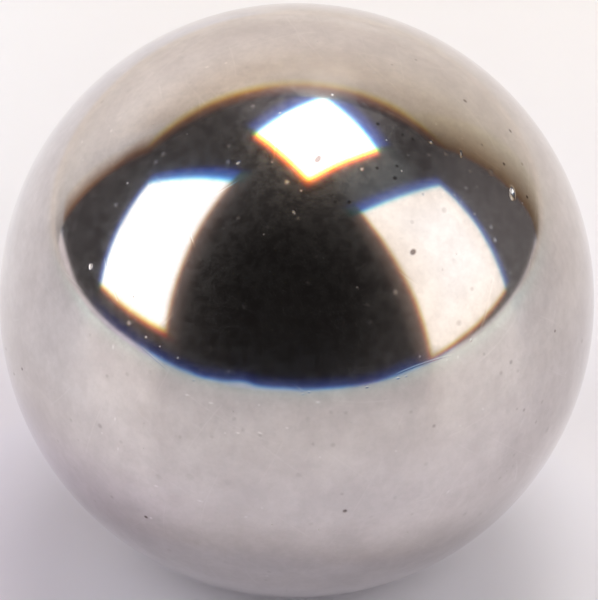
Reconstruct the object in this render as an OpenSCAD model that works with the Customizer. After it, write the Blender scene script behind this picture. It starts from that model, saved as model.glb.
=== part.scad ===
// Steel ball: one solid piece, ground and lapped round, of the kind that runs
// in bearings and sits in detents, valves and screw tips.
// The origin is the centre of the ball and +Z points up, in millimetres.

/* [Ball] */
// Diameter of the ball
ball_d = 10; // [1:0.5:50]

/* [Hidden] */
// Steps round the equator
$fn = 180;

// The whole ball, in the grey of polished steel
module ball() {
    color("silver")
        sphere(d = ball_d);
}

ball();
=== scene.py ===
"""Looks of a steel ball: a mirror lapped on hard steel, with the small dings of use.

The ball rests on a sheet of pale paper that curves up behind it, between three
square soft lamps in a dim room. Lengths are metres. Azimuth runs from +Y
towards +X and elevation up from the horizon, both seen from the ball's centre.
"""
import math
import random
from typing import NamedTuple

import bmesh
import bpy
from mathutils import Matrix, Vector, kdtree


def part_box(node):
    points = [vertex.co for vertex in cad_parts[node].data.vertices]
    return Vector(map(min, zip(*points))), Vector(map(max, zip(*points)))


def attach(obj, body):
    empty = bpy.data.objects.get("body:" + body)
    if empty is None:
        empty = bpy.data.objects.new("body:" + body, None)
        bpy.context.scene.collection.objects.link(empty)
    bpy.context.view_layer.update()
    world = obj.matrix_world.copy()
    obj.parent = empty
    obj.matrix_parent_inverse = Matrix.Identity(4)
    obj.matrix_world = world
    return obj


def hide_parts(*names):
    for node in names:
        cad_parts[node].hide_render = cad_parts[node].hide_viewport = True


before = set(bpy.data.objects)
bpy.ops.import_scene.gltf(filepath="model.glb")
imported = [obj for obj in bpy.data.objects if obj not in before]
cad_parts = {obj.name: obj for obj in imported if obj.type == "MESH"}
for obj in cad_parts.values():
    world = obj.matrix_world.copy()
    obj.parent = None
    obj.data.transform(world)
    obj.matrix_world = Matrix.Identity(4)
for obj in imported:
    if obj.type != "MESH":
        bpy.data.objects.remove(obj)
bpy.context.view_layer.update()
ball_low, ball_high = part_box("ball")
BALL_R = (ball_high.z - ball_low.z) / 2
FLOOR_Z = ball_low.z
MICRON = 1e-6

# The picture's size in pixels, and where the ball's round outline lies in it
PICTURE_W = 598
PICTURE_H = 600
OUTLINE_X = 296.8
OUTLINE_Y = 300.4
OUTLINE_R = 297.4

# The camera looks along +Y and down on the ball
VIEW_ELEVATION = math.radians(33.5)
VIEW_DISTANCE = 0.16
SENSOR_W = 36.0
CLIP_START = 0.01
CLIP_END = 10.0
VIEW_TAN = BALL_R / math.sqrt(VIEW_DISTANCE**2 - BALL_R**2)
PIXEL_TAN = VIEW_TAN / OUTLINE_R
TO_CAMERA = Vector((0, -math.cos(VIEW_ELEVATION), math.sin(VIEW_ELEVATION)))
PICTURE_UP = Vector((0, math.sin(VIEW_ELEVATION), math.cos(VIEW_ELEVATION)))
PICTURE_RIGHT = Vector((1, 0, 0))

# The sheet of paper: where its upright part stands, where its face ends there, the band of
# painted shade past its top, how far the middle of its face's top sags, and its hems, over which
# its face fades into that painted shade
PAPER_BACK = 0.45
PAPER_LEFT = -1.99 * PAPER_BACK
PAPER_RIGHT = 1.80 * PAPER_BACK
PAPER_TOP = 1.58 * PAPER_BACK
PAPER_FRONT = -0.215
PAPER_SHADE_BAND = 0.12
PAPER_CORNER_CUT = 0.06
PAPER_SAG = 0.016
TOP_HEM = 0.075
LEFT_HEM = 0.20
RIGHT_HEM = 0.35
COVE_R = 0.10
COVE_STEPS = 24
# How far in from the end of its face red, green and blue start to rise over each hem
TOP_HEM_STARTS = (0.0, 0.018, 0.053)
LEFT_HEM_STARTS = (0.0, 0.02, 0.04)
RIGHT_HEM_STARTS = (0.0, 0.0, 0.035)
# The paper's gloss and tones. Past the cool base tone the sheet is warmer behind, and the other
# tones paint light and shade onto it: painted light to the left and near the ball's left, painted
# shade on the right of the upright, high up and far in front, and a cool painted shadow round the
# ball's foot, darkest at its left
PAPER_ROUGHNESS = 0.42
PAPER_SHINE = 0.5
PAPER_COOL = (0.862, 0.856, 0.900)
PAPER_WARM = (0.93, 0.875, 0.83)
PAPER_LEFTWARD_LIGHT = (1.0, 0.965, 0.92)
PAPER_SHADED = (0.70, 0.64, 0.53)
PAPER_HIGH_SHADE = (0.90, 0.785, 0.655)
PAPER_HIGH_RIGHT_SHADE = (0.73, 0.63, 0.49)
PAPER_FAR_SHADE = (0.86, 1.0, 1.0)
PAPER_NEAR_SHADE = (0.820, 0.812, 0.895)
PAPER_FOOT_LEFT_SHADOW = (0.70, 0.67, 0.80)
PAPER_NEAR_LEFT_LIGHT = (0.905, 0.915, 0.990)
# The painted shade past the ends of the paper's face: brown, then dark
PAPER_SHADE_BROWN = (0.27, 0.135, 0.09)
PAPER_SHADE_DARK = (0.11, 0.098, 0.098)
# Between which places each tone comes in: along x, y or z, or away from the ball's centre.
# Where four numbers stand, the last two are the shares at those places.
BEHIND_Y = (-0.02, 0.12)
LEFTWARD_X = (-0.10, -0.60)
SHADED_X = (0.0, 0.45)
SHADED_Z = (0.0, 0.35, 0.35, 1.0)
HIGH_X = (-0.75, -0.45)
HIGH_Z = (0.12, 0.52)
HIGH_RIGHT_X = (0.22, 0.52)
FAR_AWAY = (0.03, 0.16)
NEAR_AWAY = (4 * BALL_R, BALL_R)
FOOT_LEFT_AWAY = (2.2 * BALL_R, 1.25 * BALL_R)
FOOT_LEFT_X = (-0.4 * BALL_R, -1.2 * BALL_R)
NEAR_LEFT_STARTS = (1.8 * BALL_R, 3.2 * BALL_R)
NEAR_LEFT_ENDS = (40 * BALL_R, 10 * BALL_R)
NEAR_LEFT_X = (0.0, -2 * BALL_R)
NEAR_LEFT_Y = (-2 * BALL_R, 0.5 * BALL_R, 0.3, 1.0)
# The heights below which the left hem fades out, and over which the left corner is cut
UNHEMMED_Z = (0.07, 0.02)
CORNER_CUT_Z = (0.40, 0.54)
# What a shadow under the top lamp leaves of the light, on the face and on the hem, and where
# each lies on the upright
UNDER_LAMP = 0.72
UNDER_LAMP_X = 0.17
UNDER_LAMP_W = (0.42, 0.12)
UNDER_LAMP_Z = (0.20, 0.60)
HEM_UNDER_LAMP = 0.53
HEM_UNDER_LAMP_X = 0.07
HEM_UNDER_LAMP_W = (0.30, 0.10)
HEM_UNDER_LAMP_Z = (PAPER_TOP - 0.29, PAPER_TOP - 0.09)

# The room's walls, a glowing shell painted with the dim room's light: darkest at a point beside
# the camera, with pale patches of painted light high on the right and behind
ROOM_R = 2.5
ROOM_LEVEL = 4
DARK_WAY = (math.radians(-175), math.radians(30))
GLOW_WAY = (math.radians(96), math.radians(62))
BACK_WAY = (math.radians(12), math.radians(60))
ROOM_DARK = (0.0135, 0.0125, 0.012)
ROOM_MIDDLE = (0.060, 0.056, 0.053)
ROOM_LIGHT = (0.077, 0.072, 0.074)
ROOM_RIGHT = (0.16, 0.15, 0.15)
ROOM_GLOW = (0.145, 0.155, 0.158)
ROOM_BACK = (0.190, 0.178, 0.178)
ROOM_NAVY = (0.026, 0.035, 0.160)
# Between which values each tone comes in: nearness to a way, as a cosine, or x or y of the
# direction from the ball
MIDDLE_NEARNESS = (0.97, 0.55)
LIGHT_NEARNESS = (0.60, -0.30)
GLOW_NEARNESS = (0.95, 0.995)
BACK_NEARNESS = (0.88, 0.99)
RIGHT_X = (0.60, 0.95)
RIGHT_Y = (-0.25, 0.15)
NAVY_X = (0.85, 0.60)
NAVY_Y = (0.05, -0.30)
NAVY_LOW = math.radians(0.5)
NAVY_HIGH = math.radians(4.8)
# The far floor, painted into the walls' glow: its tone in front and at the sides, how low red,
# green and blue each end in front, and how much higher they end at the left, the right, the back
# left and the front right
HORIZON_TONE = (0.66, 0.72, 0.76)
HORIZON_SIDE_TONE = (0.95, 0.88, 0.89)
HORIZON_STARTS = (math.radians(0.6), math.radians(0.2), math.radians(-0.25))
HORIZON_SOFT = math.radians(0.5)
HORIZON_LIFT_LEFT = math.radians(1.35)
HORIZON_LIFT_RIGHT = math.radians(0.45)
HORIZON_LIFT_BACK_LEFT = math.radians(1.2)
HORIZON_LIFT_FRONT_RIGHT = math.radians(0.2)
# Where along x the far floor's end bends, half how wide, and how far up
HORIZON_BENDS = (
    (-0.58, 0.10, math.radians(-0.5)),
    (-0.345, 0.12, math.radians(1.1)),
    (0.18, 0.28, math.radians(-0.52)),
    (0.44, 0.22, math.radians(-1.1)),
    (0.68, 0.10, math.radians(0.3)),
)
# Where the sides, those lifts and the joining of the three ends come in, and where the paper
# stands in front of the far floor
BESIDE_X = (0.68, 0.92)
LIFT_X = (-0.5, 0.5)
BACK_LEFT_X = (-0.80, -0.92)
BACK_LEFT_Y = (0.05, 0.30)
FRONT_RIGHT_X = (0.82, 0.94)
FRONT_RIGHT_Y = (0.12, -0.18)
TOGETHER_X = (0.78, 0.94)
UNCOVERED_Y = (0.70, 0.60)


class Lamp(NamedTuple):
    """A square soft lamp, seen from the ball: its middle, the directions of its edges, and its glow.

    across and down both run from a rim that ends in blue to one that ends in
    orange. cool_rim is the width over which the glow rises inside the blue
    rims. middle and margin are tints. fringes says how far apart the colours
    end at the rims, and haloes how strongly the frame beside them glows, at
    both ends of across and then of down.
    """

    name: str
    centre: tuple
    across: tuple
    down: tuple
    width: float
    height: float
    radiance: float
    cool_rim: float
    middle: tuple
    margin: tuple
    fringes: tuple
    haloes: tuple


LAMPS = (
    Lamp("left_lamp", centre=(-0.4804, -0.0579, 0.3047),
         across=(0.917, -0.392, -0.081), down=(-0.256, -0.410, -0.876),
         width=0.504, height=0.515, radiance=2.3, cool_rim=0.055,
         middle=(1.0, 0.98, 0.97), margin=(1.0, 0.96, 0.94),
         fringes=(0.55, 0.33, 0.85, 0.70), haloes=(2.6, 0.9, 3.4, 0.3)),
    Lamp("top_lamp", centre=(0.100, 0.178, 0.893),
         across=(-0.766, -0.634, 0.108), down=(0.649, -0.755, -0.098),
         width=0.549, height=0.538, radiance=5.45, cool_rim=0.110,
         middle=(1.0, 0.985, 0.97), margin=(1.0, 0.985, 0.97),
         fringes=(0.75, 1.05, 0.75, 1.05), haloes=(1.5, 0.0, 1.4, 0.1)),
    Lamp("right_lamp", centre=(0.4642, -0.0843, 0.2649),
         across=(-0.813, -0.576, -0.087), down=(0.205, -0.214, -0.956),
         width=0.497, height=0.521, radiance=1.75, cool_rim=0.055,
         middle=(0.97, 0.96, 0.92), margin=(0.93, 0.865, 0.77),
         fringes=(0.60, 0.50, 0.70, 0.50), haloes=(3.0, 1.2, 1.8, 0.0)),
)
# A lamp's rim, its rounded corners and the halo of its frame, as widths seen from the ball
# in radians
RIM_W = 0.055
RIM_SHIFT = 0.060
COOL_SOFT = 0.024
WARM_SOFT = 0.012
CORNER_ROUND = 0.09
HALO_W = 0.110
# The power that a halo fades by, and how far in the middle's tint is full, as a share of the
# lamp's smaller side
HALO_FALL = 1.7
MIDDLE_INSET = 0.4
# How far in red, green and blue start at the rims, as shares of RIM_SHIFT
RIM_COOL = (1.0, 0.62, 0.0)
RIM_WARM = (0.0, 0.50, 0.85)
RIM_RADIANCE = 0.50
# The halo beside each kind of rim, as shares of the rim's radiance
HALO_COOL = (0.012, 0.070, 0.60)
HALO_WARM = (0.24, 0.180, 0.165)

# A fourth lamp fills the shadows from behind the camera, and the mirror doesn't show it.
# The backdrop's plain tone shows past the paper.
FILL_CENTRE = Vector((0.15, -0.80, 0.62))
FILL_SIZE = 0.6
FILL_RADIANCE = 2.8
BACKDROP_TONE = (0.9, 0.89, 0.88)


class Ding(NamedTuple):
    """A small dent: the pixel that it shows at, its width and depth in microns, and its shape.

    stretch is its length over its width, and turn the angle of its length from
    the picture's right in degrees. dirt and dull say how dirty and rough its
    bottom is; the last field says how far its steel is painted near white, a painted glint.
    """

    px_x: float
    px_y: float
    width: float
    depth: float
    stretch: float = 1.0
    turn: float = 0.0
    dirt: float = 0.0
    dull: float = 0.0
    painted_glint: float = 0.0


# Specks and ticks are too shallow to see but for their finish: their depth in microns, how dull
# the dull ones are, how much wider the dark ones are than the width given, and the ticks' width
# and the share of painted glint, steel painted near white, that makes them pale
SPECK_DEPTH = 0.4
SPECK_DULLNESS = 0.55
DARK_SPREAD = 1.15
TICK_W = 50
TICK_GLINT = 0.55


def dull_speck(px_x, px_y, width=130):
    return Ding(px_x, px_y, width, SPECK_DEPTH, dull=SPECK_DULLNESS)


def dark_speck(px_x, px_y, width=75, dirt=0.8):
    return Ding(px_x, px_y, DARK_SPREAD * width, SPECK_DEPTH, dirt=dirt)


# A pale tick is a painted glint: a shallow mark whose steel is painted near white
def pale_tick(px_x, px_y, stretch=1.0, turn=0.0):
    return Ding(px_x, px_y, TICK_W, SPECK_DEPTH, stretch, turn, painted_glint=TICK_GLINT)


DINGS = (
    Ding(318, 159, 170, 1.0, 1.6, 60, dirt=0.90),
    Ding(413, 252, 130, 2.5, 1.3, 45, dirt=0.85),
    Ding(512, 194, 140, 22, 1.9, 90, dull=0.5, painted_glint=1.0),
    Ding(146, 517, 100, 5, dirt=1.0),
    Ding(151, 518, 70, 0.6, painted_glint=1.0),
    Ding(345, 511, 110, 4, dirt=0.8),
    Ding(22, 369, 80, 6, dirt=0.9),
    Ding(14, 374, 80, 4, dirt=0.6),
    Ding(6, 349, 80, 4, dirt=0.6),
    Ding(510, 131, 110, 3, dirt=0.6),
    Ding(465, 101, 110, 3, dirt=0.6),
    Ding(416, 60, 75, 3, dirt=0.35),
    Ding(392, 65, 75, 3, dirt=0.25),
    Ding(555, 331, 75, 3, dirt=0.7),
    Ding(595, 292, 90, 6, dirt=0.3),
    Ding(91, 267, 100, 4, 1.6, 90, dull=1.0),
    Ding(431, 142, 90, 3, dull=1.0),
    Ding(461, 154, 65, 4, 2.6, 90, dull=1.0),
    Ding(238, 163, 95, 1.2, 1.5, 30, dull=1.0),
    Ding(294, 212, 80, 2, 2.0, -55, dull=1.0),
    dull_speck(429, 155),
    dull_speck(446, 154),
    dull_speck(470, 171),
    dull_speck(491, 172, 150),
    dull_speck(466, 188),
    dull_speck(491, 227),
    dull_speck(495, 240),
    dull_speck(156, 162),
    dull_speck(163, 154),
    dull_speck(229, 146),
    dull_speck(228, 162),
    dull_speck(287, 182, 150),
    dull_speck(298, 218),
    dull_speck(253, 106),
    dull_speck(116, 205),
    dull_speck(129, 323),
    dull_speck(362, 169, 100),
    dull_speck(238, 218),
    dull_speck(396, 292, 150),
    dull_speck(368, 305),
    dull_speck(371, 322),
    dull_speck(308, 283, 150),
    dull_speck(244, 307, 150),
    dark_speck(504, 164),
    dark_speck(527, 197),
    dark_speck(395, 178, 90),
    dark_speck(413, 139),
    dark_speck(403, 135),
    dark_speck(378, 124),
    dark_speck(377, 168),
    dark_speck(335, 202),
    dark_speck(349, 202),
    dark_speck(444, 210, 120, 0.22),
    dark_speck(412, 222, 90, 0.18),
    dark_speck(472, 289, 90, 0.20),
    dark_speck(459, 323, 120, 0.25),
    dark_speck(100, 426, 110, 0.35),
    dark_speck(127, 374, 90, 0.15),
    dark_speck(150, 372, 90, 0.15),
    dark_speck(58, 441, 70, 0.20),
    dark_speck(78, 440, 70, 0.15),
    dark_speck(121, 442, 90, 0.18),
    dark_speck(159, 477, 150, 0.12),
    dark_speck(190, 477, 170, 0.12),
    dark_speck(112, 497, 90, 0.25),
    dark_speck(169, 550, 110, 0.15),
    dark_speck(102, 102, 90, 0.22),
    dark_speck(129, 90, 190, 0.10),
    dark_speck(61, 131, 80, 0.20),
    dark_speck(511, 362, 90, 0.35),
    dark_speck(501, 373, 90, 0.20),
    dark_speck(518, 371, 80, 0.18),
    dark_speck(434, 426, 80, 0.40),
    dark_speck(524, 410, 80, 0.35),
    dark_speck(517, 409, 60, 0.25),
    dark_speck(542, 402, 90, 0.20),
    dark_speck(547, 430, 140, 0.20),
    dark_speck(426, 464, 100, 0.20),
    dark_speck(514, 455, 80, 0.18),
    dark_speck(513, 466, 80, 0.15),
    dark_speck(524, 486, 90, 0.20),
    dark_speck(395, 498, 90, 0.15),
    dark_speck(465, 514, 110, 0.15),
    dark_speck(480, 514, 110, 0.15),
    dark_speck(234, 419, 90, 0.14),
    dark_speck(243, 430, 80, 0.16),
    dark_speck(212, 437, 80, 0.16),
    dark_speck(260, 435, 80, 0.16),
    dark_speck(308, 419, 110, 0.14),
    dark_speck(313, 444, 70, 0.22),
    dark_speck(333, 445, 100, 0.22),
    dark_speck(299, 475, 130, 0.16),
    dark_speck(342, 494, 70, 0.22),
    dark_speck(371, 517, 80, 0.16),
    dark_speck(311, 524, 90, 0.14),
    dark_speck(395, 497, 80, 0.16),
    dark_speck(269, 572, 100, 0.18),
    dark_speck(107, 376, 80, 0.25),
    dark_speck(95, 501, 80, 0.22),
    dark_speck(90, 335, 70, 0.20),
    dark_speck(71, 420, 75, 0.22),
    dark_speck(180, 437, 80, 0.18),
    dark_speck(582, 341, 90, 0.35),
    dark_speck(484, 354, 70, 0.25),
    dark_speck(411, 412, 80, 0.20),
    dark_speck(536, 422, 80, 0.25),
    dark_speck(412, 514, 80, 0.18),
    dark_speck(500, 478, 80, 0.20),
    dark_speck(346, 413, 80, 0.20),
    dark_speck(331, 412, 80, 0.18),
    dark_speck(266, 580, 80, 0.22),
    dark_speck(228, 482, 170, 0.10),
    dark_speck(510, 104, 80, 0.22),
    dark_speck(522, 164, 70, 0.35),
    dark_speck(482, 145, 70, 0.35),
    dark_speck(397, 166, 70, 0.60),
    pale_tick(26, 370),
    pale_tick(115, 419, 2.2, 80),
    pale_tick(118, 449, 2.2, 85),
    pale_tick(113, 347, 2.5, 88),
    pale_tick(187, 395, 2.2),
    pale_tick(156, 486, 2.2),
    pale_tick(200, 501, 3.0),
    pale_tick(194, 380),
    pale_tick(225, 433),
    pale_tick(260, 433, 2.5, -25),
    pale_tick(238, 433, 2.0),
    pale_tick(318, 402, 2.4),
    pale_tick(211, 403, 2.4),
    pale_tick(303, 394),
    pale_tick(309, 392),
    pale_tick(320, 457),
    pale_tick(396, 451),
    pale_tick(246, 517, 1.8, 20),
    pale_tick(267, 576, 1.8),
    pale_tick(458, 357, 1.8, 90),
    pale_tick(447, 360),
    pale_tick(566, 373, 1.4, 90),
    pale_tick(448, 492, 2.2, 45),
    pale_tick(111, 131, 1.8, 80),
    pale_tick(226, 63, 1.5),
    pale_tick(207, 67, 2.2),
    pale_tick(102, 433),
    pale_tick(471, 340, 1.6, 90),
    pale_tick(483, 409),
    pale_tick(398, 378, 1.8),
    pale_tick(406, 376),
    pale_tick(367, 387, 1.6),
    pale_tick(259, 405),
    pale_tick(287, 428, 1.6),
    pale_tick(262, 508),
    pale_tick(82, 142, 1.6, 80),
    pale_tick(83, 160),
    pale_tick(436, 124),
    pale_tick(462, 138),
    pale_tick(477, 187, 1.6, 90),
)
# Dings on the hidden side: how many, and the ranges of their widths in microns, their depths
# as shares of the width, their shapes and what is in them
HIDDEN_DINGS = 34
HIDDEN_SEED = 7
HIDDEN_W = (45, 110)
HIDDEN_DEPTH = (0.02, 0.08)
HIDDEN_STRETCH = (1.0, 2.0)
HIDDEN_TURN = (0, 180)
HIDDEN_DIRT = (0, 0.6)
HIDDEN_DULL = (0, 0.8)
# A ding's raised lip, as shares of its depth and half width, how many half widths out it
# reaches, and how fast its dirt grows with its hollow
LIP_HEIGHT = 0.12
LIP_W = 0.22
DING_REACH = 1.6
DIRT_SPREAD = 1.6
# The fewest edges across a ding, a speck and a ding on the hidden side
DING_EDGES = 8
SPECK_EDGES = 5
HIDDEN_EDGES = 5
# How finely the ball is divided, everywhere and then further round the dings, and the angle
# that an icosahedron's edge spans
BALL_LEVEL = 6
DING_LEVELS = 5
ICOSAHEDRON_EDGE = math.radians(63.4)
# The step on the unit ball over which a ding's slope is taken
SLOPE_STEP = 4e-4


def direction(azimuth, elevation):
    return Vector((math.sin(azimuth) * math.cos(elevation),
                   math.cos(azimuth) * math.cos(elevation),
                   math.sin(elevation)))


def on_ball(px_x, px_y):
    """Unit direction of the point of the ball that shows at a pixel of the picture."""
    start = TO_CAMERA * VIEW_DISTANCE
    in_picture = PICTURE_RIGHT * (px_x - OUTLINE_X) - PICTURE_UP * (px_y - OUTLINE_Y)
    ray = in_picture * PIXEL_TAN - TO_CAMERA
    ray.normalize()
    along = start.dot(ray)
    inside = along**2 - VIEW_DISTANCE**2 + BALL_R**2
    return (start + ray * (-along - math.sqrt(max(inside, 0)))).normalized()


def link(obj):
    bpy.context.scene.collection.objects.link(obj)
    return obj


def mesh_object(name, bm, material):
    mesh = bpy.data.meshes.new(name)
    bm.to_mesh(mesh)
    bm.free()
    mesh.materials.append(material)
    return link(bpy.data.objects.new(name, mesh))


# Camera


def make_camera():
    data = bpy.data.cameras.new("camera")
    data.sensor_width = SENSOR_W
    data.lens = SENSOR_W / (PICTURE_H * PIXEL_TAN)
    data.shift_x = (PICTURE_W / 2 - OUTLINE_X) / PICTURE_H
    data.shift_y = (OUTLINE_Y - PICTURE_H / 2) / PICTURE_H
    data.clip_start = CLIP_START
    data.clip_end = CLIP_END
    camera = link(bpy.data.objects.new("camera", data))
    camera.location = TO_CAMERA * VIEW_DISTANCE
    camera.rotation_euler = (math.pi / 2 - VIEW_ELEVATION, 0, 0)
    bpy.context.scene.camera = camera


# Node helpers


def new_material(name):
    material = bpy.data.materials.new(name)
    material.use_nodes = True
    material.node_tree.nodes.clear()
    return material, material.node_tree


def add_node(tree, kind, **settings):
    node = tree.nodes.new(kind)
    for key, value in settings.items():
        setattr(node, key, value)
    return node


def feed(tree, socket, value):
    """Link a socket to another node's output, or set its own value."""
    if isinstance(value, bpy.types.NodeSocket):
        tree.links.new(value, socket)
    elif isinstance(value, tuple) and len(socket.default_value) == 4:
        socket.default_value = (*value, 1)
    else:
        socket.default_value = value


def math_node(tree, operation, *values):
    node = add_node(tree, "ShaderNodeMath", operation=operation)
    for socket, value in zip(node.inputs, values):
        feed(tree, socket, value)
    return node.outputs[0]


def product(tree, first, *others):
    for other in others:
        first = math_node(tree, "MULTIPLY", first, other)
    return first


def away_from(tree, value, middle):
    return math_node(tree, "ABSOLUTE", math_node(tree, "SUBTRACT", value, middle))


def vector_node(tree, operation, *values):
    node = add_node(tree, "ShaderNodeVectorMath", operation=operation)
    for socket, value in zip(node.inputs, values):
        feed(tree, socket, value)
    return node.outputs["Value" if operation in ("DOT_PRODUCT", "LENGTH") else "Vector"]


def scaled(tree, vector, factor):
    node = add_node(tree, "ShaderNodeVectorMath", operation="SCALE")
    feed(tree, node.inputs["Vector"], vector)
    feed(tree, node.inputs["Scale"], factor)
    return node.outputs["Vector"]


def split(tree, vector):
    node = add_node(tree, "ShaderNodeSeparateXYZ")
    feed(tree, node.inputs[0], vector)
    return node.outputs


def ramp_between(tree, value, low, high, out_low=0.0, out_high=1.0):
    """Smooth step of a value from low to high."""
    node = add_node(tree, "ShaderNodeMapRange", interpolation_type="SMOOTHSTEP")
    names = ("Value", "From Min", "From Max", "To Min", "To Max")
    for name, number in zip(names, (value, low, high, out_low, out_high)):
        feed(tree, node.inputs[name], number)
    return node.outputs["Result"]


# Which sockets of a mix node take and give colours, and which vectors
COLOUR_MIX_INPUTS = (0, 6, 7)
COLOUR_MIX_OUTPUT = 2
VECTOR_MIX_INPUTS = (1, 4, 5)
VECTOR_MIX_OUTPUT = 1


def mix_colour(tree, factor, first, second):
    node = add_node(tree, "ShaderNodeMix", data_type="RGBA")
    for index, value in zip(COLOUR_MIX_INPUTS, (factor, first, second)):
        feed(tree, node.inputs[index], value)
    return node.outputs[COLOUR_MIX_OUTPUT]


def mix_apart(tree, factors, first, second):
    """Mix red, green and blue, each by its own factor."""
    node = add_node(tree, "ShaderNodeMix", data_type="VECTOR", factor_mode="NON_UNIFORM")
    for index, value in zip(VECTOR_MIX_INPUTS, (factors, first, second)):
        feed(tree, node.inputs[index], value)
    return node.outputs[VECTOR_MIX_OUTPUT]


def apart(tree, distance, starts, soft):
    """Red, green and blue that each rise from 0 to 1 over a soft edge, from its own start."""
    offsets = tuple(-start / soft for start in starts)
    slope = vector_node(tree, "MULTIPLY_ADD", distance, (1 / soft,) * 3, offsets)
    capped = vector_node(tree, "MINIMUM", slope, (1.0, 1.0, 1.0))
    return vector_node(tree, "MAXIMUM", capped, (0.0, 0.0, 0.0))


def object_point(tree):
    return add_node(tree, "ShaderNodeTexCoord").outputs["Object"]


def noise(tree, point, scale, detail, roughness):
    node = add_node(tree, "ShaderNodeTexNoise")
    names = ("Vector", "Scale", "Detail", "Roughness")
    for name, value in zip(names, (point, scale, detail, roughness)):
        feed(tree, node.inputs[name], value)
    return node.outputs[0]


def mark(tree, name):
    """What a ding left at the surface's points."""
    return add_node(tree, "ShaderNodeAttribute", attribute_name=name).outputs["Fac"]


def surface_output(tree, shader):
    output = add_node(tree, "ShaderNodeOutputMaterial")
    feed(tree, output.inputs["Surface"], shader.outputs[0])


# Stage: paper, room and lamps


def paper_material():
    """Semi-gloss paper: cool in front, warm behind, and brown where its hems leave the light."""
    material, tree = new_material("pale_paper")
    shader = add_node(tree, "ShaderNodeBsdfPrincipled")
    shader.inputs["Roughness"].default_value = PAPER_ROUGHNESS
    shader.inputs["Specular IOR Level"].default_value = PAPER_SHINE
    place = object_point(tree)
    x, y, z = split(tree, place)
    distance = vector_node(tree, "LENGTH", place)
    behind = ramp_between(tree, y, *BEHIND_Y)
    in_front = math_node(tree, "SUBTRACT", 1.0, behind)
    high = product(tree, ramp_between(tree, x, *HIGH_X), ramp_between(tree, z, *HIGH_Z))
    shaded = product(tree, behind, ramp_between(tree, x, *SHADED_X), ramp_between(tree, z, *SHADED_Z))
    foot_shadow_left = product(tree, ramp_between(tree, distance, *FOOT_LEFT_AWAY),
                        ramp_between(tree, x, *FOOT_LEFT_X))
    near_light_left = product(tree, ramp_between(tree, distance, *NEAR_LEFT_STARTS),
                        ramp_between(tree, distance, *NEAR_LEFT_ENDS),
                        ramp_between(tree, y, *NEAR_LEFT_Y),
                        ramp_between(tree, x, *NEAR_LEFT_X))
    # Each tone after the warm one paints light or shade onto the one sheet
    colour = PAPER_COOL
    for share, tone in (
            (behind, PAPER_WARM),
            (product(tree, behind, ramp_between(tree, x, *LEFTWARD_X)), PAPER_LEFTWARD_LIGHT),
            (shaded, PAPER_SHADED),
            (high, PAPER_HIGH_SHADE),
            (product(tree, high, ramp_between(tree, x, *HIGH_RIGHT_X)), PAPER_HIGH_RIGHT_SHADE),
            (product(tree, in_front, ramp_between(tree, distance, *FAR_AWAY)), PAPER_FAR_SHADE),
            (ramp_between(tree, distance, *NEAR_AWAY), PAPER_NEAR_SHADE),
            (foot_shadow_left, PAPER_FOOT_LEFT_SHADOW),
            (near_light_left, PAPER_NEAR_LEFT_LIGHT)):
        colour = mix_colour(tree, share, colour, tone)

    aside = away_from(tree, x, UNDER_LAMP_X)
    top = ramp_between(tree, aside, *UNDER_LAMP_W, PAPER_TOP, PAPER_TOP - PAPER_SAG)
    below_top = math_node(tree, "SUBTRACT", top, z)
    unhemmed = math_node(tree, "ADD", in_front, ramp_between(tree, z, *UNHEMMED_Z))
    cut = ramp_between(tree, z, *CORNER_CUT_Z, PAPER_LEFT, PAPER_LEFT + PAPER_CORNER_CUT)
    from_left = math_node(tree, "ADD", math_node(tree, "SUBTRACT", x, cut), unhemmed)
    from_right = math_node(tree, "ADD", math_node(tree, "SUBTRACT", PAPER_RIGHT, x), in_front)
    face = apart(tree, below_top, TOP_HEM_STARTS, TOP_HEM)
    for side, starts, hem in (
            (from_left, LEFT_HEM_STARTS, LEFT_HEM),
            (from_right, RIGHT_HEM_STARTS, RIGHT_HEM)):
        face = vector_node(tree, "MINIMUM", face, apart(tree, side, starts, hem))
    # Past the top of its face and beyond its hems, the sheet is painted brown and then dark: painted
    # shade
    past_top = ramp_between(tree, below_top, 0.0, -PAPER_SHADE_BAND)
    shade_band = mix_colour(tree, past_top, PAPER_SHADE_BROWN, PAPER_SHADE_DARK)
    sheet = mix_apart(tree, face, shade_band, colour)

    shadow = product(tree, ramp_between(tree, z, *UNDER_LAMP_Z),
                     ramp_between(tree, aside, *UNDER_LAMP_W, 0.0, UNDER_LAMP - 1.0))
    hem_aside = away_from(tree, x, HEM_UNDER_LAMP_X)
    hem_loss = HEM_UNDER_LAMP - UNDER_LAMP
    hem_shadow = product(tree, ramp_between(tree, z, *HEM_UNDER_LAMP_Z),
                         ramp_between(tree, hem_aside, *HEM_UNDER_LAMP_W, 0.0, hem_loss))
    lit = math_node(tree, "ADD", math_node(tree, "ADD", shadow, hem_shadow), 1.0)
    feed(tree, shader.inputs["Base Color"], scaled(tree, sheet, lit))
    surface_output(tree, shader)
    return material


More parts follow.
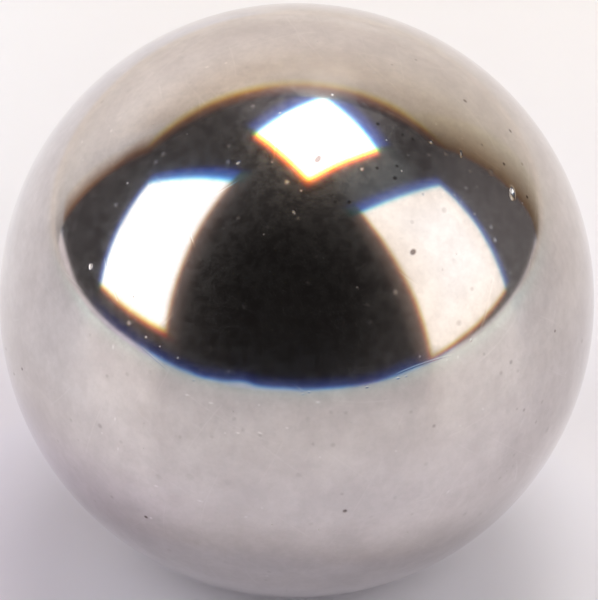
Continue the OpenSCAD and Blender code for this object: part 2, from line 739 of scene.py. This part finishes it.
def make_paper():
    bm = bmesh.new()
    front = [bm.verts.new((x, PAPER_FRONT, FLOOR_Z)) for x in (PAPER_LEFT, PAPER_RIGHT)]
    edge = [bm.edges.new(front)]

    def pull(edges, by):
        made = bmesh.ops.extrude_edge_only(bm, edges=edges)["geom"]
        verts = [g for g in made if isinstance(g, bmesh.types.BMVert)]
        bmesh.ops.translate(bm, verts=verts, vec=by)
        made_edges = [g for g in made if isinstance(g, bmesh.types.BMEdge)]
        return [e for e in made_edges if all(v in verts for v in e.verts)]

    edge = pull(edge, (0, PAPER_BACK - COVE_R - PAPER_FRONT, 0))
    cove = (0, PAPER_BACK - COVE_R, FLOOR_Z + COVE_R)
    made = bmesh.ops.spin(bm, geom=edge, cent=cove, axis=(1, 0, 0), angle=math.pi / 2, steps=COVE_STEPS)
    edge = [g for g in made["geom_last"] if isinstance(g, bmesh.types.BMEdge)]
    # The upright goes on past the top of its face by the band of painted shade
    pull(edge, (0, 0, PAPER_TOP + PAPER_SHADE_BAND - FLOOR_Z - COVE_R))
    bmesh.ops.recalc_face_normals(bm, faces=bm.faces)
    for face in bm.faces:
        face.smooth = True
    paper = mesh_object("paper_sheet", bm, paper_material())


def room_material():
    """Dim walls: darkest beside the camera, lighter all round, blue just over the floor in front."""
    material, tree = new_material("painted_room_glow")
    place = vector_node(tree, "NORMALIZE", object_point(tree))
    x, y, height = split(tree, place)
    dark, glow_side, back = (
        vector_node(tree, "DOT_PRODUCT", place, tuple(direction(*way)))
        for way in (DARK_WAY, GLOW_WAY, BACK_WAY))
    outward = math_node(tree, "ABSOLUTE", x)
    beside = ramp_between(tree, outward, *BESIDE_X)
    right = product(tree, ramp_between(tree, x, *RIGHT_X), ramp_between(tree, y, *RIGHT_Y))
    back_left = product(tree, ramp_between(tree, x, *BACK_LEFT_X),
                        ramp_between(tree, y, *BACK_LEFT_Y))
    front_right = product(tree, ramp_between(tree, x, *FRONT_RIGHT_X),
                          ramp_between(tree, y, *FRONT_RIGHT_Y))
    for share, rise in (
            (beside, ramp_between(tree, x, *LIFT_X, -HORIZON_LIFT_LEFT, -HORIZON_LIFT_RIGHT)),
            (back_left, -HORIZON_LIFT_BACK_LEFT),
            (front_right, -HORIZON_LIFT_FRONT_RIGHT)):
        height = math_node(tree, "MULTIPLY_ADD", share, rise, height)
    for middle, half, rise in HORIZON_BENDS:
        bend = ramp_between(tree, away_from(tree, x, middle), half, 0.0, 0.0, rise)
        height = math_node(tree, "SUBTRACT", height, bend)
    navy = product(tree, ramp_between(tree, y, *NAVY_Y),
                   ramp_between(tree, height, NAVY_HIGH, NAVY_LOW),
                   ramp_between(tree, x, *NAVY_X))
    colour = ROOM_DARK
    for share, tone in (
            (ramp_between(tree, dark, *MIDDLE_NEARNESS), ROOM_MIDDLE),
            (ramp_between(tree, dark, *LIGHT_NEARNESS), ROOM_LIGHT),
            (right, ROOM_RIGHT),
            (ramp_between(tree, glow_side, *GLOW_NEARNESS), ROOM_GLOW),
            (ramp_between(tree, back, *BACK_NEARNESS), ROOM_BACK),
            (navy, ROOM_NAVY)):
        colour = mix_colour(tree, share, colour, tone)
    below = math_node(tree, "MULTIPLY", height, -1.0)
    together = ramp_between(tree, outward, *TOGETHER_X)
    below = vector_node(tree, "MULTIPLY_ADD", together, HORIZON_STARTS, below)
    # Painted far floor: lit paper past the sheet, painted into the walls' glow
    floor = mix_colour(tree, beside, HORIZON_TONE, HORIZON_SIDE_TONE)
    floor = vector_node(tree, "MULTIPLY", floor, apart(tree, below, HORIZON_STARTS, HORIZON_SOFT))
    uncovered = ramp_between(tree, y, *UNCOVERED_Y)
    # The walls glow with painted room light, standing in for walls lit by the lamps
    glow = add_node(tree, "ShaderNodeEmission")
    feed(tree, glow.inputs["Color"], vector_node(tree, "MULTIPLY_ADD", floor, uncovered, colour))
    surface_output(tree, glow)
    return material


def make_room():
    bm = bmesh.new()
    bmesh.ops.create_icosphere(bm, subdivisions=ROOM_LEVEL, radius=ROOM_R)
    bmesh.ops.reverse_faces(bm, faces=bm.faces)
    room = mesh_object("room_walls", bm, room_material())
    room.visible_camera = False


class Side(NamedTuple):
    """One edge direction of a lamp: its size, and the fringes and haloes at its cool and warm ends."""

    aim: Vector
    size: float
    fringes: tuple
    haloes: tuple


def lamp_face(tree, lamp, sides, reach):
    """A lamp's glow: even in the middle, dim at the rim, where its colours end a little apart."""
    place = add_node(tree, "ShaderNodeNewGeometry").outputs["Parametric"]
    halo_w = HALO_W * reach
    cool = []
    warm = []
    face = (1.0, 1.0, 1.0)
    for part, side in zip(split(tree, place), sides):
        cool.append(math_node(tree, "MULTIPLY", part, side.size))
        warm.append(math_node(tree, "SUBTRACT", side.size, cool[-1]))
        for distance, shares, soft, tone, fringe, strength in (
                (cool[-1], RIM_COOL, COOL_SOFT, HALO_COOL, side.fringes[0], side.haloes[0]),
                (warm[-1], RIM_WARM, WARM_SOFT, HALO_WARM, side.fringes[1], side.haloes[1])):
            starts = [halo_w + share * fringe * RIM_SHIFT * reach for share in shares]
            edge = apart(tree, distance, starts, soft * reach)
            fall = math_node(tree, "POWER", ramp_between(tree, distance, 0.0, halo_w), HALO_FALL)
            halo = scaled(tree, tone, math_node(tree, "MULTIPLY", fall, strength))
            face = vector_node(tree, "MINIMUM", face, vector_node(tree, "MAXIMUM", edge, halo))
    from_cool = math_node(tree, "SMOOTH_MIN", *cool, CORNER_ROUND * reach)
    from_warm = math_node(tree, "SMOOTH_MIN", *warm, CORNER_ROUND * reach)
    dim = RIM_RADIANCE / lamp.radiance
    level = math_node(tree, "MINIMUM",
                      ramp_between(tree, from_cool, halo_w, halo_w + lamp.cool_rim * reach, dim, 1.0),
                      ramp_between(tree, from_warm, halo_w, halo_w + RIM_W * reach, dim, 1.0))
    inset = math_node(tree, "MINIMUM", from_cool, from_warm)
    full = halo_w + MIDDLE_INSET * min(lamp.width, lamp.height)
    middle = ramp_between(tree, inset, halo_w, full)
    tint = mix_colour(tree, middle, lamp.margin, lamp.middle)
    return scaled(tree, vector_node(tree, "MULTIPLY", face, tint), level)


def make_lamp(lamp):
    reach = Vector(lamp.centre).length
    frame_w = 2 * HALO_W * reach
    sides = [Side(Vector(lamp.across).normalized(), lamp.width + frame_w,
                  lamp.fringes[:2], lamp.haloes[:2]),
             Side(Vector(lamp.down).normalized(), lamp.height + frame_w,
                  lamp.fringes[2:], lamp.haloes[2:])]
    if sides[0].aim.cross(sides[1].aim).dot(Vector(lamp.centre)) < 0:
        sides.reverse()
    first, second = (side.aim for side in sides)
    second = (second - first * first.dot(second)).normalized()
    data = bpy.data.lights.new(lamp.name, "AREA")
    data.shape = "RECTANGLE"
    data.size, data.size_y = (side.size for side in sides)
    data.energy = lamp.radiance * math.pi * data.size * data.size_y
    data.use_nodes = True
    tree = data.node_tree
    feed(tree, tree.nodes["Emission"].inputs["Color"], lamp_face(tree, lamp, sides, reach))
    obj = link(bpy.data.objects.new(lamp.name, data))
    turn = Matrix((first, second, first.cross(second))).transposed().to_4x4()
    obj.matrix_world = Matrix.Translation(lamp.centre) @ turn
    obj.visible_camera = False


def make_fill():
    data = bpy.data.lights.new("fill_lamp", "AREA")
    data.size = FILL_SIZE
    data.energy = FILL_RADIANCE * math.pi * FILL_SIZE**2
    obj = link(bpy.data.objects.new("fill_lamp", data))
    turn = FILL_CENTRE.to_track_quat("Z", "Y").to_matrix().to_4x4()
    obj.matrix_world = Matrix.Translation(FILL_CENTRE) @ turn
    obj.visible_camera = False
    obj.visible_glossy = False


def make_world():
    world = bpy.data.worlds.new("pale_backdrop")
    world.use_nodes = True
    tree = world.node_tree
    feed(tree, tree.nodes["Background"].inputs["Color"], BACKDROP_TONE)
    bpy.context.scene.world = world


# Finish of the steel


MM_PER_M = 1000.0
STEEL_PALE = (0.638, 0.592, 0.584)
STEEL_DULL = (0.562, 0.518, 0.513)
# The near-white tone is no steel's own: it is a painted glint where marks would catch the light
STEEL_GLINT = (0.960, 0.920, 0.910)
STEEL_DIRT = (0.085, 0.055, 0.052)
# Specks, stains and hairlines: millimetres apart and across, and the share of them that shows
FINE_SPECKS = {"spacing": 0.28, "radius": 0.045, "share": 0.60}
STAINS = {"spacing": 0.42, "radius": 0.110, "share": 0.55}
HAIRLINES = {"spacing": 0.55, "width": 0.022, "share": 0.40}
HAIRLINE_DIRECTIONS = (
    (0.62, 0.31, 0.72),
    (-0.45, 0.83, 0.33),
    (0.21, -0.55, 0.81),
    (0.90, 0.12, -0.42),
)
# The smallest pit's share of the given radius
SMALLEST_PIT = 0.35
# Where a hairline lies in its strip, at least and how much further at most, as shares of the spacing
LINE_START = 0.1
LINE_SHIFT = 0.8
# The noise that breaks hairlines into runs: its step from line to line, its scale, and how softly
# a run ends
RUN_STEP = 5.3
RUN_SCALE = 0.9
RUN_SOFT = 0.05
# How far specks, hairlines and a slow wave lift the surface
SPECK_LIFT = -0.3 * MICRON
HAIRLINE_LIFT = -0.12 * MICRON
WAVE_LIFT = 0.9 * MICRON
# Noises, as scale, detail and roughness, and between which of its values each comes in
WAVE_NOISE = (1.6, 1.0, 0.5)
CLOUD_NOISE = (1.5, 6.0, 0.68)
CLOUD_RISE = (0.34, 0.68)
GRAIN_NOISE = (7.0, 2.0, 0.6)
GRAIN_RISE = (0.30, 0.70)
FILM_NOISE = (5.0, 5.0, 0.78)
FILM_RISE = (0.38, 0.62)
# How much stains and grain dirty the steel, and how much painted glint brightens the hairlines
STAIN_DIRT = 0.08
GRAIN_DIRT = 0.06
HAIRLINE_GLINT = 0.13
# Roughness of the dullest and palest cloud, and what specks and dull dings add to it
CLOUD_ROUGHNESS = (0.092, 0.082)
SPECK_ROUGHNESS = 0.26
DULL_ROUGHNESS = 0.28
# The hazy film: its gloss, its greatest weight, and the shares of it left at two slants
FILM_ROUGHNESS = 0.32
FILM_IOR = 1.8
FILM_MOST = 0.62
FILM_SLANTS = (0.30, 0.70)
FILM_LEFT = (1.0, 0.10)


def new_group(name, inputs, outputs):
    """A shader node group with named sockets, and the sockets inside it."""
    tree = bpy.data.node_groups.new(name, "ShaderNodeTree")
    for way, sockets in (("INPUT", inputs), ("OUTPUT", outputs)):
        for socket, kind in sockets:
            tree.interface.new_socket(socket, in_out=way, socket_type=kind)
    return tree, tree.nodes.new("NodeGroupInput").outputs, tree.nodes.new("NodeGroupOutput").inputs


def pin_pits_group():
    """Round pits scattered through space: one in some of the cells, of mixed sizes."""
    number = "NodeSocketFloat"
    tree, given, put = new_group(
        "pin_pits",
        (("Point", "NodeSocketVector"), ("Spacing", number), ("Radius", number), ("Share", number)),
        (("Depth", number),))
    cell = vector_node(tree, "DIVIDE", given["Point"], given["Spacing"])
    cells = add_node(tree, "ShaderNodeTexVoronoi")
    feed(tree, cells.inputs["Vector"], cell)
    cells.inputs["Scale"].default_value = 1.0
    lot, size, _rest = split(tree, cells.outputs["Color"])
    radius = product(tree, given["Radius"], ramp_between(tree, size, 0.0, 1.0, SMALLEST_PIT, 1.0))
    distance = math_node(tree, "MULTIPLY", cells.outputs["Distance"], given["Spacing"])
    bowl = ramp_between(tree, math_node(tree, "DIVIDE", distance, radius), 1.0, 0.0)
    kept = math_node(tree, "LESS_THAN", lot, given["Share"])
    feed(tree, put["Depth"], math_node(tree, "MULTIPLY", bowl, kept))
    return tree


def hairlines_group():
    """Fine straight scratches: cuts by parallel planes, at random places and in short runs."""
    number = "NodeSocketFloat"
    tree, given, put = new_group(
        "hairlines",
        (("Point", "NodeSocketVector"), ("Across", "NodeSocketVector"), ("Spacing", number),
         ("Width", number), ("Share", number)),
        (("Depth", number),))
    steps = math_node(tree, "DIVIDE", vector_node(tree, "DOT_PRODUCT", given["Point"], given["Across"]),
                      given["Spacing"])
    index = math_node(tree, "FLOOR", steps)
    chance = add_node(tree, "ShaderNodeTexWhiteNoise", noise_dimensions="1D")
    feed(tree, chance.inputs["W"], index)
    offset = math_node(tree, "MULTIPLY_ADD", chance.outputs["Value"], LINE_SHIFT, LINE_START)
    within = math_node(tree, "SUBTRACT", steps, index)
    gap = away_from(tree, within, offset)
    distance = math_node(tree, "MULTIPLY", gap, given["Spacing"])
    line = ramp_between(tree, math_node(tree, "DIVIDE", distance, given["Width"]), 0.5, 0.0)
    runs = add_node(tree, "ShaderNodeTexNoise", noise_dimensions="4D")
    feed(tree, runs.inputs["Vector"], given["Point"])
    feed(tree, runs.inputs["W"], math_node(tree, "MULTIPLY", index, RUN_STEP))
    runs.inputs["Scale"].default_value = RUN_SCALE
    runs.inputs["Detail"].default_value = 0.0
    limit = math_node(tree, "SUBTRACT", 1.0, given["Share"])
    window = ramp_between(tree, math_node(tree, "SUBTRACT", runs.outputs[0], limit), 0.0, RUN_SOFT)
    feed(tree, put["Depth"], math_node(tree, "MULTIPLY", line, window))
    return tree


def place_group(tree, group, **values):
    node = add_node(tree, "ShaderNodeGroup", node_tree=group)
    for name, value in values.items():
        feed(tree, node.inputs[name.capitalize()], value)
    return node.outputs[0]


def steel_material():
    """A lapped mirror: cloudy, a little hazy, with dull specks, hairlines and dirt left in the dings."""
    material, tree = new_material("lapped_steel")
    shader = add_node(tree, "ShaderNodeBsdfPrincipled")
    shader.inputs["Metallic"].default_value = 1.0
    shader.inputs["Coat Roughness"].default_value = FILM_ROUGHNESS
    shader.inputs["Coat IOR"].default_value = FILM_IOR
    point = scaled(tree, object_point(tree), MM_PER_M)
    pits = pin_pits_group()
    hairlines = hairlines_group()

    specks = place_group(tree, pits, point=point, **FINE_SPECKS)
    stains = place_group(tree, pits, point=point, **STAINS)
    height = math_node(tree, "MULTIPLY", specks, SPECK_LIFT)
    strokes = 0.0
    for across in HAIRLINE_DIRECTIONS:
        across = Vector(across).normalized()
        lines = place_group(tree, hairlines, point=point, across=across, **HAIRLINES)
        height = math_node(tree, "MULTIPLY_ADD", lines, HAIRLINE_LIFT, height)
        strokes = math_node(tree, "MAXIMUM", strokes, lines)
    wave = noise(tree, point, *WAVE_NOISE)
    height = math_node(tree, "MULTIPLY_ADD", wave, WAVE_LIFT, height)
    bump = add_node(tree, "ShaderNodeBump")
    bump.inputs["Distance"].default_value = 1.0
    feed(tree, bump.inputs["Height"], height)
    feed(tree, shader.inputs["Normal"], bump.outputs[0])

    cloud = ramp_between(tree, noise(tree, point, *CLOUD_NOISE), *CLOUD_RISE)
    colour = mix_colour(tree, cloud, STEEL_DULL, STEEL_PALE)
    grain = ramp_between(tree, noise(tree, point, *GRAIN_NOISE), *GRAIN_RISE)
    faint = math_node(tree, "MULTIPLY", grain, GRAIN_DIRT)
    faint = math_node(tree, "MULTIPLY_ADD", stains, STAIN_DIRT, faint)
    # Stains, grain and the dirt in dings are the steel's own; hairlines and glint marks are painted near
    # white, a painted glint
    for share, tone in (
            (faint, STEEL_DIRT),
            (math_node(tree, "MULTIPLY", strokes, HAIRLINE_GLINT), STEEL_GLINT),
            (mark(tree, "dirt"), STEEL_DIRT),
            (mark(tree, "painted_glint"), STEEL_GLINT)):
        colour = mix_colour(tree, share, colour, tone)
    feed(tree, shader.inputs["Base Color"], colour)

    polish = ramp_between(tree, cloud, 0.0, 1.0, *CLOUD_ROUGHNESS)
    polish = math_node(tree, "MULTIPLY_ADD", specks, SPECK_ROUGHNESS, polish)
    polish = math_node(tree, "MULTIPLY_ADD", mark(tree, "dull"), DULL_ROUGHNESS, polish)
    feed(tree, shader.inputs["Roughness"], polish)
    film = ramp_between(tree, noise(tree, point, *FILM_NOISE), *FILM_RISE, 0.0, FILM_MOST)
    facing = add_node(tree, "ShaderNodeLayerWeight").outputs["Facing"]
    left = ramp_between(tree, facing, *FILM_SLANTS, *FILM_LEFT)
    feed(tree, shader.inputs["Coat Weight"], math_node(tree, "MULTIPLY", film, left))
    surface_output(tree, shader)
    return material


# The ball


class Bowl(NamedTuple):
    """A ding on the unit ball: its middle, two directions with half sizes, depth and what is in it."""

    middle: Vector
    along: Vector
    aside: Vector
    half_along: float
    half_aside: float
    depth: float
    dirt: float
    dull: float
    painted_glint: float


def bowl_at(middle, ding):
    right = (PICTURE_RIGHT - middle * middle.dot(PICTURE_RIGHT)).normalized()
    along = Matrix.Rotation(math.radians(ding.turn), 3, middle) @ right
    half = ding.width * MICRON / 2 / BALL_R
    return Bowl(middle, along, middle.cross(along), half * ding.stretch, half,
                ding.depth * MICRON, ding.dirt, ding.dull, ding.painted_glint)


def all_bowls():
    """The dings that the picture shows, and a like scatter over the rest of the ball."""
    bowls = [bowl_at(on_ball(ding.px_x, ding.px_y), ding) for ding in DINGS]
    draw = random.Random(HIDDEN_SEED)
    while len(bowls) < len(DINGS) + HIDDEN_DINGS:
        middle = Vector([draw.gauss(0, 1) for _ in range(3)]).normalized()
        width = draw.uniform(*HIDDEN_W)
        ding = Ding(0, 0, width, width * draw.uniform(*HIDDEN_DEPTH),
                    stretch=draw.uniform(*HIDDEN_STRETCH), turn=draw.uniform(*HIDDEN_TURN),
                    dirt=draw.uniform(*HIDDEN_DIRT), dull=draw.uniform(*HIDDEN_DULL))
        if middle.dot(TO_CAMERA) < 0:
            bowls.append(bowl_at(middle, ding))
    return bowls


def sink(bowls, place):
    """How far the surface lies below the ball at a unit direction, and the marks left there."""
    drop = 0.0
    dirt = 0.0
    dull = 0.0
    painted_glint = 0.0
    for bowl in bowls:
        reach = math.hypot(place.dot(bowl.along) / bowl.half_along,
                           place.dot(bowl.aside) / bowl.half_aside)
        if reach > DING_REACH:
            continue
        hollow = (1 - reach**2) ** 2 if reach < 1 else 0.0
        lip = math.exp(-(((reach - 1) / LIP_W) ** 2)) * LIP_HEIGHT
        drop += bowl.depth * (hollow - lip)
        dirt = max(dirt, bowl.dirt * min(1.0, DIRT_SPREAD * hollow))
        dull = max(dull, bowl.dull * hollow)
        painted_glint = max(painted_glint, bowl.painted_glint * hollow)
    return drop, dirt, dull, painted_glint


def refine(bm, bowls):
    """Split the ball's triangles round each ding until they are small enough to shape it."""
    edge = BALL_R * ICOSAHEDRON_EDGE / 2 ** (BALL_LEVEL - 1)
    for _ in range(DING_LEVELS):
        faces = list(bm.faces)
        tree = kdtree.KDTree(len(faces))
        for index, face in enumerate(faces):
            tree.insert(face.calc_center_median(), index)
        tree.balance()
        chosen = set()
        for bowl in bowls:
            edges_over = DING_EDGES if bowl.depth > MICRON else SPECK_EDGES
            if bowl.middle.dot(TO_CAMERA) < 0:
                edges_over = HIDDEN_EDGES
            if edge < 2 * bowl.half_aside * BALL_R / edges_over:
                continue
            reach = DING_REACH * bowl.half_along * BALL_R + edge
            chosen.update(index for _co, index, _d in tree.find_range(bowl.middle * BALL_R, reach))
        edges = {e for index in chosen for e in faces[index].edges}
        bmesh.ops.subdivide_edges(bm, edges=list(edges), cuts=1, use_grid_fill=True)
        bmesh.ops.triangulate(bm, faces=[f for f in bm.faces if len(f.verts) > 3])
        for vert in bm.verts:
            vert.co = vert.co.normalized() * BALL_R
        edge /= 2


def press_dings(bm, bowls):
    """Press the dings into the ball, mark their dirt, and give each vertex's true normal."""
    near = kdtree.KDTree(len(bowls))
    for index, bowl in enumerate(bowls):
        near.insert(bowl.middle, index)
    near.balance()
    widest = max(bowl.half_along for bowl in bowls) * DING_REACH
    dirt_layer = bm.verts.layers.float.new("dirt")
    dull_layer = bm.verts.layers.float.new("dull")
    painted_glint_layer = bm.verts.layers.float.new("painted_glint")
    normals = []
    for vert in bm.verts:
        place = vert.co.normalized()
        close = [bowls[i] for _co, i, _d in near.find_range(place, widest + 2 * SLOPE_STEP)]
        if not close:
            normals.append(place)
            continue
        side = place.orthogonal().normalized()
        other = place.cross(side)

        def surface(toward):
            toward = toward.normalized()
            return toward * (BALL_R - sink(close, toward)[0])

        run = surface(place + side * SLOPE_STEP) - surface(place - side * SLOPE_STEP)
        rise = surface(place + other * SLOPE_STEP) - surface(place - other * SLOPE_STEP)
        normals.append(run.cross(rise).normalized())
        drop, vert[dirt_layer], vert[dull_layer], vert[painted_glint_layer] = sink(close, place)
        vert.co = place * (BALL_R - drop)
    return normals


def make_ball():
    bowls = all_bowls()
    bm = bmesh.new()
    bmesh.ops.create_icosphere(bm, subdivisions=BALL_LEVEL, radius=BALL_R)
    refine(bm, bowls)
    normals = press_dings(bm, bowls)
    for face in bm.faces:
        face.smooth = True
    ball = mesh_object("polished_ball", bm, steel_material())
    ball.data.normals_split_custom_set_from_vertices(normals)
    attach(ball, "root")
    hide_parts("ball")


bpy.context.scene.view_settings.view_transform = "Standard"
make_camera()
make_world()
make_paper()
make_room()
for each in LAMPS:
    make_lamp(each)
make_fill()
make_ball()
